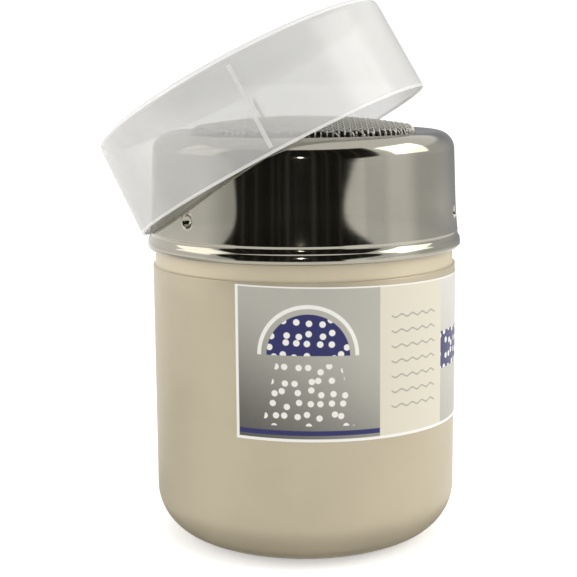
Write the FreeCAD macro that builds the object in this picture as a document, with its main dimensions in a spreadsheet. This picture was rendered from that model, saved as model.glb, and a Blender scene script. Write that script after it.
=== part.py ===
import FreeCAD, Part
import math
import os
import Sketcher

# A drawn steel shaker with a twist-off mesh lid and a translucent dust cap.
# Millimetres, +Z up, the origin at the middle of the ring that the cup stands on.
# The front, where the label begins, looks along -Y.

# Driving sizes, in millimetres and degrees
SIZES = [
    ("cup_radius", 33.0, "outer radius of the drawn cup"),
    ("cup_sheet", 0.5, "cup sheet thickness"),
    ("cup_corner", 10.8, "outer radius of the cup's bottom corner"),
    ("cup_wall_top", 59.8, "height at which the cup wall starts to turn in"),
    ("band_step", 0.55, "how far the plain band under the lid lies inside the wall"),
    ("band_slope", 0.6, "height of the slope from the wall to that band"),
    ("band_end", 3.8, "height of the band's end above the wall's top"),
    ("shoulder_height", 2.8, "height of the turned-in shoulder over the band"),
    ("shoulder_step", 1.15, "how far the neck lies inside the band"),
    ("neck_above_thread", 1.1, "plain height of the neck above its highest ridge"),
    ("foot_width", 3.8, "width of the flat ring that the cup stands on"),
    ("base_recess_run", 2.4, "width of the slope round the raised middle"),
    ("base_recess_depth", 0.9, "how far the middle of the base is raised"),
    ("ridge_root", 2.2, "width of a rolled thread ridge where it leaves the neck"),
    ("ridge_crest", 0.9, "width of a ridge's crest"),
    ("ridge_height", 0.8, "how far a ridge stands out of the neck"),
    ("ridge_lead", 18.0, "climb of the thread in one turn"),
    ("ridge_sweep", 88.0, "angle that one ridge covers"),
    ("ridge_behind_lug", 34.0, "angle of ridge behind a lug of the closed lid"),
    ("thread_starts", 3.0, "number of ridges and of lugs"),
    ("lug_clearance", 0.15, "free height between a lug and its ridge"),
    ("lid_sheet", 0.5, "lid sheet thickness"),
    ("lid_edge_above", 3.7, "height of the lid's bottom edge above the cup wall's top"),
    ("lid_bead_step", 1.1, "how far the lid's bead stands out beyond the cup wall"),
    ("lid_hem", 0.8, "outer radius of the lid's rolled bottom edge"),
    ("lid_band", 1.2, "height of the bead's straight band"),
    ("lid_band_lean", 0.1, "how far the bead's band leans in"),
    ("lid_flare", 1.7, "height of the hollow curve from the bead to the lid wall"),
    ("lid_wall_step", 0.25, "how far the lid wall stands out beyond the cup wall"),
    ("lid_taper", 0.6, "how far the lid wall leans in from its bead to its top corner"),
    ("lid_corner", 4.0, "outer radius of the lid's top corner"),
    ("lid_top_width", 4.35, "width of the lid's top between its corner and its opening"),
    ("lid_top_dip", 0.5, "how far the lid's top falls to its opening"),
    ("lug_height", 7.8, "height of the lug centres above the lid's bottom edge"),
    ("lug_round", 1.75, "inner-side radius of a punched lug"),
    ("lug_sheet_share", 0.8, "share of the sheet thickness that is left in a lug"),
    ("lug_tip_clearance", 0.3, "free width between a lug and the neck"),
    ("lug_angle", 224.6, "direction of the first lug"),
    ("mesh_thickness", 0.6, "thickness of the wire mesh"),
    ("mesh_rim_step", 0.75, "how far the mesh rim ends inside the lid's corner"),
    ("mesh_band", 1.3, "height of the mesh's upright band above the opening"),
    ("mesh_crown", 2.2, "height of the mesh dome above its band"),
    ("mesh_pitch", 2.8, "spacing of the mesh gaps"),
    ("mesh_gap", 1.75, "width of one mesh gap"),
    ("mesh_margin", 1.1, "solid width left inside the mesh band"),
    ("mesh_side_clearance", 0.12, "free width between the mesh band and the opening"),
    ("seat_clearance", 0.03, "free height between clamped pieces"),
    ("ring_sheet", 0.5, "retaining ring sheet thickness"),
    ("ring_opening_step", 0.7, "how far the ring's opening lies outside the lid's"),
    ("ring_skirt", 4.0, "length of the ring's straight skirt"),
    ("ring_above_lip", 0.49, "free height between the ring and the cup's lip"),
    ("ring_clearance", 0.05, "free width between the ring and the lid wall"),
    ("cap_rim_clearance", 0.55, "free width between the cap's rim and the lid wall"),
    ("cap_taper", 0.6, "how far the cap wall leans in from its rim to its corner"),
    ("cap_height", 21.7, "dust cap height"),
    ("cap_corner", 1.8, "outer radius of the dust cap's corner"),
    ("cap_wall", 0.7, "dust cap wall thickness"),
    ("cap_ribs", 4.0, "number of grip ribs in the dust cap"),
    ("cap_rib_width", 0.9, "width of a grip rib"),
    ("cap_rib_depth", 0.25, "how far a grip rib's upper end stands in"),
    ("cap_rib_root_share", 0.3333, "share of the cap wall that a rib's root goes into"),
    ("cap_rib_start", 3.0, "height of a grip rib's lower end above the rim"),
    ("cap_rib_below_top", 3.2, "height of a grip rib's upper end below the cap's top"),
    ("cap_rib_angle", 269.6, "direction of the first grip rib"),
    ("cap_tilt", 28.4, "tilt of the dust cap as it leans on the lid"),
    ("cap_lean_angle", 164.6, "direction that the tilted dust cap leans to"),
    ("cap_rest_gap", 0.25, "free distance under the leaning dust cap"),
    ("label_thickness", 0.12, "label thickness"),
    ("label_gap", 0.06, "glue line under the label"),
    ("label_below_shoulder", 0.55, "height of the label's top edge below the wall's top"),
    ("label_height", 31.5, "label height"),
    ("label_start_angle", 245.4, "direction of the label's left edge"),
    ("label_sweep", 184.0, "angle that the label covers"),
]


class Size:
    """A length or an angle with its value and the expression that gives it."""

    def __init__(self, value, text):
        self.value = float(value)
        self.text = text

    def joined(self, other, sign, value):
        text = other.text if isinstance(other, Size) else repr(other)
        return Size(value, "(%s %s %s)" % (self.text, sign, text))

    def __add__(self, other):
        return self.joined(other, "+", self.value + number(other))

    def __sub__(self, other):
        return self.joined(other, "-", self.value - number(other))

    def __mul__(self, other):
        return self.joined(other, "*", self.value * number(other))

    def __truediv__(self, other):
        return self.joined(other, "/", self.value / number(other))


def number(item):
    return item.value if isinstance(item, Size) else float(item)


def sine(angle):
    return Size(math.sin(math.radians(angle.value)), "sin(%s)" % angle.text)


def cosine(angle):
    return Size(math.cos(math.radians(angle.value)), "cos(%s)" % angle.text)


def arc_tangent(ratio):
    return Size(math.degrees(math.atan(ratio.value)), "(atan(%s) / 1deg)" % ratio.text)


def root(square):
    return Size(math.sqrt(square.value), "sqrt(%s)" % square.text)


document = FreeCAD.newDocument("shaker")
sheet = document.addObject("Spreadsheet::Sheet", "Sizes")
for row, (alias, value, note) in enumerate(SIZES, start=1):
    sheet.set("A%d" % row, note)
    sheet.set("B%d" % row, repr(value))
    sheet.setAlias("B%d" % row, alias)
document.recompute()
sizes = {alias: Size(sheet.get(alias), "Sizes.%s" % alias) for alias, value, note in SIZES}
ZERO = Size(0, "0")


def origin_item(body, role):
    return [item for item in body.Origin.OriginFeatures if item.Role == role][0]


def make_body(label):
    body = document.addObject("PartDesign::Body", label)
    body.Label = label
    return body


def arc_between(start, end, radius, side):
    """The short arc from start to end, bulging to the left for side 1, to the right for -1."""
    middle = (start + end) / 2
    half = (end - start).Length / 2
    along = (end - start).normalize()
    left = FreeCAD.Vector(-along.y, along.x, 0)
    reach = radius - math.sqrt(max(radius * radius - half * half, 0))
    top = middle + left * (side * reach)
    return Part.Arc(end, top, start) if side > 0 else Part.Arc(start, top, end)


def outline(body, name, role, steps):
    """A closed sketch through steps of (across, up, edge), bound to the sheet.

    The edge leads to the next step. None is a straight line, and (radius, side) an arc.
    """
    sketch = body.newObject("Sketcher::SketchObject", name)
    sketch.AttachmentSupport = [(origin_item(body, role), "")]
    sketch.MapMode = "FlatFace"
    points = [FreeCAD.Vector(step[0].value, step[1].value, 0) for step in steps]
    count = len(steps)
    for index, (across, up, edge) in enumerate(steps):
        start = points[index]
        end = points[(index + 1) % count]
        if edge is None:
            sketch.addGeometry(Part.LineSegment(start, end), False)
        else:
            sketch.addGeometry(arc_between(start, end, edge[0].value, edge[1]), False)
    ends = []
    for index in range(count):
        geometry = sketch.Geometry[index]
        first = (geometry.StartPoint - points[index]).Length < (geometry.EndPoint - points[index]).Length
        ends.append((1, 2) if first else (2, 1))
    for index in range(count):
        follower = (index + 1) % count
        sketch.addConstraint(
            Sketcher.Constraint("Coincident", index, ends[index][1], follower, ends[follower][0]))
    for index, (across, up, edge) in enumerate(steps):
        place = ends[index][0]
        for kind, length in (("DistanceX", across), ("DistanceY", up)):
            if length is ZERO:
                on_axis = -2 if kind == "DistanceX" else -1
                sketch.addConstraint(Sketcher.Constraint("PointOnObject", index, place, on_axis))
                continue
            number_of = sketch.addConstraint(
                Sketcher.Constraint(kind, -1, 1, index, place, length.value))
            sketch.setExpression("Constraints[%d]" % number_of, length.text)
        if edge is not None:
            number_of = sketch.addConstraint(Sketcher.Constraint("Radius", index, edge[0].value))
            sketch.setExpression("Constraints[%d]" % number_of, edge[0].text)
    return sketch


def revolve(body, sketch, kind, name):
    """Turn a sketch about the body's upright axis, adding with Revolution or cutting with Groove."""
    feature = body.newObject("PartDesign::" + kind, name)
    feature.Profile = sketch
    feature.ReferenceAxis = (origin_item(body, "Z_Axis"), "")
    feature.Angle = 360
    return feature


def turn_body(body, angle):
    """Turn a body about the upright axis by an angle of the sheet."""
    body.Placement = FreeCAD.Placement(
        FreeCAD.Vector(), FreeCAD.Rotation(FreeCAD.Vector(0, 0, 1), angle.value))
    body.setExpression("Placement.Rotation.Angle", angle.text)
    document.recompute()


def polar(body, name, originals, count):
    pattern = body.newObject("PartDesign::PolarPattern", name)
    pattern.Originals = originals
    pattern.Axis = (origin_item(body, "Z_Axis"), "")
    pattern.Angle = 360
    pattern.Occurrences = int(count.value)
    pattern.setExpression("Occurrences", count.text)
    body.Tip = pattern
    return pattern


# Heights and radii that several pieces share
s = sizes
cup_inner = s["cup_radius"] - s["cup_sheet"]
band_radius = s["cup_radius"] - s["band_step"]
band_inner = band_radius - s["cup_sheet"]
band_end = s["cup_wall_top"] + s["band_end"]
neck_radius = band_radius - s["shoulder_step"]
neck_inner = neck_radius - s["cup_sheet"]
neck_foot = band_end + s["shoulder_height"]
lid_edge = s["cup_wall_top"] + s["lid_edge_above"]
hem_top = lid_edge + s["lid_hem"]
band_top = hem_top + s["lid_band"]
bead_top = band_top + s["lid_flare"]
lug_level = lid_edge + s["lug_height"]

# The ridges lie over the closed lid's lugs, and the cup's lip lies over the ridges
ridge_level = lug_level + s["lug_round"] + s["lug_clearance"] + s["ridge_root"] / 2
ridge_start = ridge_level - s["ridge_lead"] * s["ridge_behind_lug"] / 360
ridge_climb = s["ridge_lead"] * s["ridge_sweep"] / 360
lip_top = ridge_start + ridge_climb + s["ridge_root"] / 2 + s["neck_above_thread"]

# The lid follows the cup's wall, and its top closes over the ring and the mesh rim
bead_radius = s["cup_radius"] + s["lid_bead_step"]
band_top_radius = bead_radius - s["lid_band_lean"]
lid_wall_radius = s["cup_radius"] + s["lid_wall_step"]
lid_top_radius = lid_wall_radius - s["lid_taper"]
lid_corner_radius = lid_top_radius - s["lid_corner"]
opening_radius = lid_corner_radius - s["lid_top_width"]
ring_radius = lid_top_radius - s["lid_sheet"] - s["ring_clearance"]
ring_below = s["lid_sheet"] + s["mesh_thickness"] + s["seat_clearance"] * 2
ring_end = lip_top + s["ring_above_lip"]
ring_corner_level = ring_end + s["ring_skirt"]
lid_top = ring_corner_level + (ring_radius - lid_corner_radius) + ring_below

# The dust cap goes over the lid wall
cap_rim_radius = lid_wall_radius + s["cap_rim_clearance"] + s["cap_wall"]
cap_top_radius = cap_rim_radius - s["cap_taper"]


def lug_direction(index):
    return s["lug_angle"] + Size(360, "360") * index / s["thread_starts"]


# Rolled thread: one helical bar for each start
def thread_bars():
    """The bars that follow the neck, with their roots inside its sheet."""
    path = document.addObject("Part::Helix", "ridge_path")
    path.setExpression("Pitch", s["ridge_lead"].text)
    path.setExpression("Height", ridge_climb.text)
    path.setExpression("Radius", neck_radius.text)
    path.setExpression("Placement.Base.z", ridge_start.text)
    holder = make_body("ridge_section_holder")
    root_radius = neck_radius - s["cup_sheet"] / 2
    crest_radius = neck_radius + s["ridge_height"]
    half_root = s["ridge_root"] / 2
    half_crest = s["ridge_crest"] / 2
    flank = (half_root - half_crest) / s["ridge_height"]
    half_buried = half_root + flank * (neck_radius - root_radius)
    section = outline(holder, "ridge_section", "XZ_Plane", [
        (root_radius, ridge_start - half_buried, None),
        (crest_radius, ridge_start - half_crest, None),
        (crest_radius, ridge_start + half_crest, None),
        (root_radius, ridge_start + half_buried, None),
    ])
    bars = []
    for index in range(int(s["thread_starts"].value)):
        start = lug_direction(index) - s["ridge_behind_lug"]
        bar = document.addObject("Part::Sweep", "ridge_%d" % (index + 1))
        bar.Sections = [section]
        bar.Spine = (path, ["Edge1"])
        bar.Solid = True
        bar.Frenet = True
        bar.Placement = FreeCAD.Placement(
            FreeCAD.Vector(), FreeCAD.Rotation(FreeCAD.Vector(0, 0, 1), start.value))
        bar.setExpression("Placement.Rotation.Angle", start.text)
        bars.append(bar)
    return bars


# Cup: one drawn sheet, with the ridges on its neck
def make_cup():
    body = make_body("cup_outer_form")
    turn = arc_tangent(s["shoulder_step"] / s["shoulder_height"]) * 2
    bend = s["shoulder_height"] / (sine(turn) * 2)
    middle_radius = band_radius - s["shoulder_step"] / 2
    middle_height = band_end + s["shoulder_height"] / 2
    corner_centre = s["cup_radius"] - s["cup_corner"]
    foot_inner = corner_centre - s["foot_width"]
    recess_radius = foot_inner - s["base_recess_run"]
    bevel = s["cup_sheet"] / 4
    profile = outline(body, "cup_profile", "XZ_Plane", [
        (ZERO, s["base_recess_depth"], None),
        (recess_radius, s["base_recess_depth"], None),
        (foot_inner, ZERO, None),
        (corner_centre, ZERO, (s["cup_corner"], -1)),
        (s["cup_radius"], s["cup_corner"], None),
        (s["cup_radius"], s["cup_wall_top"], None),
        (band_radius, s["cup_wall_top"] + s["band_slope"], None),
        (band_radius, band_end, (bend, -1)),
        (middle_radius, middle_height, (bend, 1)),
        (neck_radius, neck_foot, None),
        (neck_radius, lip_top - bevel, None),
        (neck_radius - bevel, lip_top, None),
        (neck_inner + bevel, lip_top, None),
        (neck_inner, lip_top - bevel, None),
        (neck_inner, neck_foot, (bend + s["cup_sheet"], -1)),
        (middle_radius - s["cup_sheet"] * cosine(turn),
         middle_height - s["cup_sheet"] * sine(turn), (bend - s["cup_sheet"], 1)),
        (band_inner, band_end, None),
        (band_inner, s["cup_wall_top"] + s["band_slope"], None),
        (cup_inner, s["cup_wall_top"], None),
        (cup_inner, s["cup_corner"], (s["cup_corner"] - s["cup_sheet"], 1)),
        (corner_centre, s["cup_sheet"], None),
        (foot_inner, s["cup_sheet"], None),
        (recess_radius, s["base_recess_depth"] + s["cup_sheet"], None),
        (ZERO, s["base_recess_depth"] + s["cup_sheet"], None),
    ])
    revolve(body, profile, "Revolution", "cup_turning")
    document.recompute()

    cup = document.addObject("Part::MultiFuse", "cup")
    cup.Label = "cup"
    cup.Shapes = [body] + thread_bars()
    document.recompute()
    return cup


def flare_round(low_radius, high_radius, low_level):
    """Radius of the arc that climbs in from the bead and ends upright at the wall's foot."""
    run = low_radius - high_radius
    rise = bead_top - low_level
    return (run * run + rise * rise) / (run * 2)


# Lid: bead, wall and top, with three lugs punched in
def make_lid():
    body = make_body("lid_form")
    wall_inner = lid_wall_radius - s["lid_sheet"]
    top_inner = lid_top_radius - s["lid_sheet"]
    hem_centre = bead_radius - s["lid_hem"]
    hem_inner = s["lid_hem"] - s["lid_sheet"]
    band_top_inner = band_top_radius - s["lid_sheet"]
    band_top_below = band_top - s["lid_sheet"] / 2
    opening_level = lid_top - s["lid_top_dip"]
    steps = [
        (hem_centre, lid_edge, (s["lid_hem"], -1)),
        (bead_radius, hem_top, None),
        (band_top_radius, band_top, (flare_round(band_top_radius, lid_wall_radius, band_top), 1)),
        (lid_wall_radius, bead_top, None),
        (lid_top_radius, lid_top - s["lid_corner"], (s["lid_corner"], -1)),
        (lid_corner_radius, lid_top, None),
        (opening_radius, opening_level, None),
        (opening_radius, opening_level - s["lid_sheet"], None),
        (lid_corner_radius, lid_top - s["lid_sheet"], (s["lid_corner"] - s["lid_sheet"], 1)),
        (top_inner, lid_top - s["lid_corner"], None),
        (wall_inner, bead_top, (flare_round(band_top_inner, wall_inner, band_top_below), -1)),
        (band_top_inner, band_top_below, None),
        (bead_radius - s["lid_sheet"], hem_top, (hem_inner, 1)),
        (hem_centre, hem_top - hem_inner, None),
    ]
    revolve(body, outline(body, "lid_profile", "XZ_Plane", steps), "Revolution", "lid_turned_form")

    # A cone that follows the wall's outer face keeps the lugs inside it
    wall_height = lid_top - s["lid_corner"] - bead_top
    core = document.addObject("Part::Cone", "lug_core")
    core.setExpression("Radius1", (lid_wall_radius - s["lid_sheet"] / 2).text)
    core.setExpression("Radius2", (lid_top_radius - s["lid_sheet"] / 2).text)
    core.setExpression("Height", wall_height.text)
    core.setExpression("Placement.Base.z", bead_top.text)
    tip_radius = neck_radius + s["lug_tip_clearance"]
    centre_radius = tip_radius + s["lug_round"]
    hollow_round = s["lug_round"] - s["lid_sheet"] * s["lug_sheet_share"]
    outer_lugs = []
    hollows = []
    for index in range(int(s["thread_starts"].value)):
        angle = lug_direction(index)
        for collection, name, radius in (
                (outer_lugs, "lug", s["lug_round"]),
                (hollows, "lug_hollow", hollow_round)):
            ball = document.addObject("Part::Sphere", "%s_%d" % (name, index + 1))
            ball.setExpression("Radius", radius.text)
            ball.setExpression("Placement.Base.x", (centre_radius * cosine(angle)).text)
            ball.setExpression("Placement.Base.y", (centre_radius * sine(angle)).text)
            ball.setExpression("Placement.Base.z", lug_level.text)
            collection.append(ball)
    balls = document.addObject("Part::MultiFuse", "lug_balls")
    balls.Shapes = outer_lugs
    lugs = document.addObject("Part::MultiCommon", "lugs_in_wall")
    lugs.Shapes = [balls, core]
    with_lugs = document.addObject("Part::MultiFuse", "lid_with_lugs")
    with_lugs.Shapes = [body, lugs]
    cups = document.addObject("Part::MultiFuse", "lug_hollows")
    cups.Shapes = hollows
    lid = document.addObject("Part::Cut", "lid_shell")
    lid.Label = "lid_shell"
    lid.Base = with_lugs
    lid.Tool = cups
    document.recompute()
    return lid


# Height of the sloped top's underside, and of the pieces clamped under it
def slope_level(radius, below):
    """Height at a radius of a face that lies below the lid's sloped top."""
    fall = s["lid_top_dip"] * (lid_corner_radius - radius)
    return lid_top - below - fall / (lid_corner_radius - opening_radius)


def make_mesh():
    body = make_body("mesh_screen")
    band_outer = opening_radius - s["mesh_side_clearance"]
    band_inner = band_outer - s["mesh_thickness"]
    flange_outer = lid_corner_radius - s["mesh_rim_step"]
    top_below = s["lid_sheet"] + s["seat_clearance"]
    under_below = top_below + s["mesh_thickness"]
    band_top = lid_top - s["lid_top_dip"] + s["mesh_band"]
    crown = s["mesh_crown"]
    dome = (band_outer * band_outer + crown * crown) / (crown * 2)
    inner_dome = (band_inner * band_inner + crown * crown) / (crown * 2)
    apex = band_top + crown
    profile = outline(body, "mesh_profile", "XZ_Plane", [
        (flange_outer, slope_level(flange_outer, under_below), None),
        (flange_outer, slope_level(flange_outer, top_below), None),
        (band_outer, slope_level(band_outer, top_below), None),
        (band_outer, band_top, (dome, -1)),
        (ZERO, apex, None),
        (ZERO, apex - s["mesh_thickness"], (inner_dome, 1)),
        (band_inner, band_top - s["mesh_thickness"], None),
        (band_inner, slope_level(band_inner, under_below), None),
    ])
    revolve(body, profile, "Revolution", "mesh_form")
    document.recompute()
    closed_volume = body.Shape.Volume

    # Square gaps on a grid, all cut in one pocket from above
    gaps = body.newObject("Sketcher::SketchObject", "mesh_gaps")
    gaps.AttachmentSupport = [(origin_item(body, "XY_Plane"), "")]
    gaps.MapMode = "FlatFace"
    gaps.setExpression("AttachmentOffset.Base.z", (apex + s["mesh_thickness"]).text)
    half = s["mesh_gap"].value / 2
    reach = band_inner.value - s["mesh_margin"].value
    pitch = s["mesh_pitch"].value
    span = int(reach / pitch) + 1
    corners = [(-half, -half), (half, -half), (half, half), (-half, half)]
    count = 0
    for column in range(-span, span + 1):
        for line in range(-span, span + 1):
            if math.hypot(abs(column) * pitch + half, abs(line) * pitch + half) > reach:
                continue
            loop = [FreeCAD.Vector(column * pitch + x, line * pitch + y, 0) for x, y in corners]
            for start, end in zip(loop, loop[1:] + loop[:1]):
                gaps.addGeometry(Part.LineSegment(start, end), False)
            count += 1
    pocket = body.newObject("PartDesign::Pocket", "mesh_gap_cut")
    pocket.Profile = gaps
    pocket.Length = number(crown + s["mesh_thickness"] * 3)
    pocket.setExpression("Length", (crown + s["mesh_thickness"] * 3).text)
    document.recompute()
    least_cut = count * s["mesh_gap"].value ** 2 * s["mesh_thickness"].value / 2
    if body.Shape.Volume > closed_volume - least_cut:
        raise RuntimeError("the mesh gaps were not cut")
    return body


def make_ring():
    body = make_body("retaining_ring")
    under_below = ring_below + s["ring_sheet"]
    skirt_inner = ring_radius - s["ring_sheet"]
    inner_corner = lid_corner_radius - s["ring_sheet"] / 2
    ring_opening = opening_radius + s["ring_opening_step"]
    profile = outline(body, "ring_profile", "XZ_Plane", [
        (ring_radius, ring_end, None),
        (ring_radius, ring_corner_level, None),
        (lid_corner_radius, lid_top - ring_below, None),
        (ring_opening, slope_level(ring_opening, ring_below), None),
        (ring_opening, slope_level(ring_opening, under_below), None),
        (inner_corner, slope_level(inner_corner, under_below), None),
        (skirt_inner, ring_corner_level - s["ring_sheet"] / 2, None),
        (skirt_inner, ring_end, None),
    ])
    revolve(body, profile, "Revolution", "ring_form")
    document.recompute()
    return body


# The lid's outer outline from its opening out and down to its bottom edge
def lid_outline_points():
    points = [(opening_radius.value, lid_top.value - s["lid_top_dip"].value)]
    corner = s["lid_corner"].value
    steps = 24
    for index in range(steps + 1):
        angle = math.pi / 2 * (1 - index / steps)
        points.append((lid_corner_radius.value + corner * math.cos(angle),
                       lid_top.value - corner + corner * math.sin(angle)))
    start = FreeCAD.Vector(lid_wall_radius.value, bead_top.value, 0)
    end = FreeCAD.Vector(band_top_radius.value, band_top.value, 0)
    round_value = flare_round(band_top_radius, lid_wall_radius, band_top).value
    flare = arc_between(start, end, round_value, -1).toShape().discretize(steps + 1)
    points += [(point.x, point.y) for point in sorted(flare, key=lambda point: -point.y)]
    points.append((bead_radius.value, hem_top.value))
    return points


def lid_height_at(points, radius):
    """Highest lid level at a radius, or None outside the lid."""
    levels = []
    for (inner, high), (outer, low) in zip(points, points[1:]):
        if min(inner, outer) <= radius <= max(inner, outer) and inner != outer:
            levels.append(high + (low - high) * (radius - inner) / (outer - inner))
    if levels:
        return max(levels)
    return lid_top.value if radius < points[0][0] else None


def cap_rest_level(points, slip):
    """Lowest level of the tilted rim's centre, at a sideways slip, clear of the lid."""
    tilt = math.radians(s["cap_tilt"].value)
    rim = cap_rim_radius.value - s["cap_wall"].value
    level = None
    samples = 360
    for index in range(samples):
        angle = 2 * math.pi * index / samples
        across = slip + rim * math.cos(tilt) * math.cos(angle)
        along = rim * math.sin(angle)
        height = lid_height_at(points, math.hypot(across, along) - s["cap_rest_gap"].value)
        if height is None:
            continue
        need = height + s["cap_rest_gap"].value + rim * math.sin(tilt) * math.cos(angle)
        level = need if level is None else max(level, need)
    return level


def cap_rest_place():
    """Slip and level at which the low rim sits on the bead and the sides on the lid's corner."""
    points = lid_outline_points()
    low = s["cap_wall"].value
    high = s["lid_corner"].value * 2
    third = 1 / 3
    for turn in range(60):
        left = low + (high - low) * third
        right = high - (high - low) * third
        if cap_rest_level(points, left) < cap_rest_level(points, right):
            high = right
        else:
            low = left
    slip = (low + high) / 2
    return slip, cap_rest_level(points, slip)


# Dust cap: a thin moulded dish with grip ribs, leaning on the lid
def make_cap():
    body = make_body("dust_cap")
    inner_rim = cap_rim_radius - s["cap_wall"]
    inner_top = cap_top_radius - s["cap_wall"]
    shoulder = s["cap_height"] - s["cap_corner"]
    corner_radius = cap_top_radius - s["cap_corner"]
    profile = outline(body, "cap_profile", "XZ_Plane", [
        (cap_rim_radius, ZERO, None),
        (cap_top_radius, shoulder, (s["cap_corner"], -1)),
        (corner_radius, s["cap_height"], None),
        (ZERO, s["cap_height"], None),
        (ZERO, s["cap_height"] - s["cap_wall"], None),
        (corner_radius, s["cap_height"] - s["cap_wall"], (s["cap_corner"] - s["cap_wall"], 1)),
        (inner_top, shoulder, None),
        (inner_rim, ZERO, None),
    ])
    revolve(body, profile, "Revolution", "cap_form")
    document.recompute()
    rib_plane = body.newObject("Sketcher::SketchObject", "rib_section")
    rib_plane.AttachmentSupport = [(origin_item(body, "XY_Plane"), "")]
    rib_plane.MapMode = "FlatFace"
    rib_plane.setExpression("AttachmentOffset.Base.z", s["cap_rib_start"].text)
    rib_outer = inner_rim + s["cap_wall"] * s["cap_rib_root_share"]
    rib_length = s["cap_height"] - s["cap_rib_start"] - s["cap_rib_below_top"]
    rib_inner = inner_top - s["cap_rib_depth"]
    half = s["cap_rib_width"] / 2
    low = rib_inner.value
    high = rib_outer.value
    side = half.value
    loop = [FreeCAD.Vector(low, -side, 0), FreeCAD.Vector(high, -side, 0),
            FreeCAD.Vector(high, side, 0), FreeCAD.Vector(low, side, 0)]
    for start, end in zip(loop, loop[1:] + loop[:1]):
        rib_plane.addGeometry(Part.LineSegment(start, end), False)
    for first, second in ((0, 1), (1, 2), (2, 3), (3, 0)):
        rib_plane.addConstraint(Sketcher.Constraint("Coincident", first, 2, second, 1))
    for first, kind in ((0, "Horizontal"), (2, "Horizontal"), (1, "Vertical")):
        rib_plane.addConstraint(Sketcher.Constraint(kind, first))
    rib_plane.addConstraint(Sketcher.Constraint("Symmetric", 0, 1, 3, 1, -1))
    for kind, place, length in (("DistanceX", 1, rib_inner), ("DistanceX", 2, rib_outer)):
        number_of = rib_plane.addConstraint(Sketcher.Constraint(kind, -1, 1, 0, place, length.value))
        rib_plane.setExpression("Constraints[%d]" % number_of, length.text)
    number_of = rib_plane.addConstraint(
        Sketcher.Constraint("DistanceY", 1, 1, 1, 2, s["cap_rib_width"].value))
    rib_plane.setExpression("Constraints[%d]" % number_of, s["cap_rib_width"].text)
    rib = body.newObject("PartDesign::Pad", "rib")
    rib.Profile = rib_plane
    rib.Length = rib_length.value
    rib.setExpression("Length", rib_length.text)
    document.recompute()
    polar(body, "all_ribs", [rib], s["cap_ribs"])
    slip, level = cap_rest_place()
    lean = math.radians(s["cap_lean_angle"].value)
    tilt_axis = FreeCAD.Vector(-math.sin(lean), math.cos(lean), 0)
    tilt = FreeCAD.Rotation(tilt_axis, s["cap_tilt"].value)
    spin = FreeCAD.Rotation(FreeCAD.Vector(0, 0, 1), s["cap_rib_angle"].value)
    body.Placement = FreeCAD.Placement(
        FreeCAD.Vector(slip * math.cos(lean), slip * math.sin(lean), level), tilt.multiply(spin))
    document.recompute()
    return body


def make_label():
    body = make_body("label")
    inner = s["cup_radius"] + s["label_gap"]
    outer = inner + s["label_thickness"]
    top = s["cup_wall_top"] - s["label_below_shoulder"]
    bottom = top - s["label_height"]
    sketch = outline(body, "label_profile", "XZ_Plane", [
        (inner, bottom, None),
        (outer, bottom, None),
        (outer, top, None),
        (inner, top, None),
    ])
    strip = revolve(body, sketch, "Revolution", "label_strip")
    strip.setExpression("Angle", s["label_sweep"].text)
    document.recompute()
    turn_body(body, s["label_start_angle"])
    return body


parts = [make_cup(), make_lid(), make_mesh(), make_ring(), make_cap(), make_label()]
document.recompute()
for item in document.Objects:
    if "Invalid" in item.State or "Error" in item.State:
        raise RuntimeError("%s failed: %s" % (item.Name, item.State))
for part in parts:
    if part.Shape.isNull() or not part.Shape.isValid():
        raise RuntimeError("%s has no valid shape" % part.Label)
os.makedirs("parts", exist_ok=True)
for part in parts:
    part.Shape.exportStep("parts/%s.step" % part.Label)
    box = part.Shape.BoundBox
    print(part.Label, "solids", len(part.Shape.Solids), "volume", round(part.Shape.Volume, 2),
          "box", [round(edge, 2) for edge in (box.XMin, box.YMin, box.ZMin, box.XMax, box.YMax, box.ZMax)])
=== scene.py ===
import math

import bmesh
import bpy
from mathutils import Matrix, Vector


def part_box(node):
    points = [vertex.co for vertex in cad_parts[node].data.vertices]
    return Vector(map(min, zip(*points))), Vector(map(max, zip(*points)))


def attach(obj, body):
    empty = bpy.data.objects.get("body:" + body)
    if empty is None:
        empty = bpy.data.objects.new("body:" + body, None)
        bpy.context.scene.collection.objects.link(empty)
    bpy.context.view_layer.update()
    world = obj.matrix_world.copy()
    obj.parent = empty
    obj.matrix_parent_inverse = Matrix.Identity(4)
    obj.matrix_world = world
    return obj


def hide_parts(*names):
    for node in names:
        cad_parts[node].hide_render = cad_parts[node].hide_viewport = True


bl_info = {
    "name": "Mesh Lid Shaker",
    "version": (1, 0, 0),
    "blender": (4, 5, 0),
    "location": "View3D > Sidebar > Shaker",
    "description": "Builds a drawn steel shaker with a mesh lid, a printed label and a dust cap",
    "category": "Object",
}

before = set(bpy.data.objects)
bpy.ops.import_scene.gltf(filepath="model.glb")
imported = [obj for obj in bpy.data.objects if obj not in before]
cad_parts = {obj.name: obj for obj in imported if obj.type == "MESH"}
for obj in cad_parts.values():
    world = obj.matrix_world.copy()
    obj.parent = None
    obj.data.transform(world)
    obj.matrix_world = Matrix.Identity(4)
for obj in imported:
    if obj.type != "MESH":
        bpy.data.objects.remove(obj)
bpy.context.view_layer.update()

# Upper corners of the solids, and both corners where a piece follows its lower one too
CUP_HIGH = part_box("cup")[1]
LID_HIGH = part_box("lid_shell")[1]
MESH_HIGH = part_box("mesh_screen")[1]
RING_LOW, RING_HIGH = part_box("retaining_ring")
LABEL_LOW, LABEL_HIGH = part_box("label")

# One millimetre and one full turn in the script's own units
MM = 0.001
FULL_TURN = 2 * math.pi

# Flats in one turn of a large piece and of a small one, and the angle of a crisp edge
LARGE_STEPS = 300
SMALL_STEPS = 240
CREASE = math.radians(38)

# Side of the picture and the camera's focal length, in pixels
IMAGE_SIDE = 577
LENS_PIXELS = 1402

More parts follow.
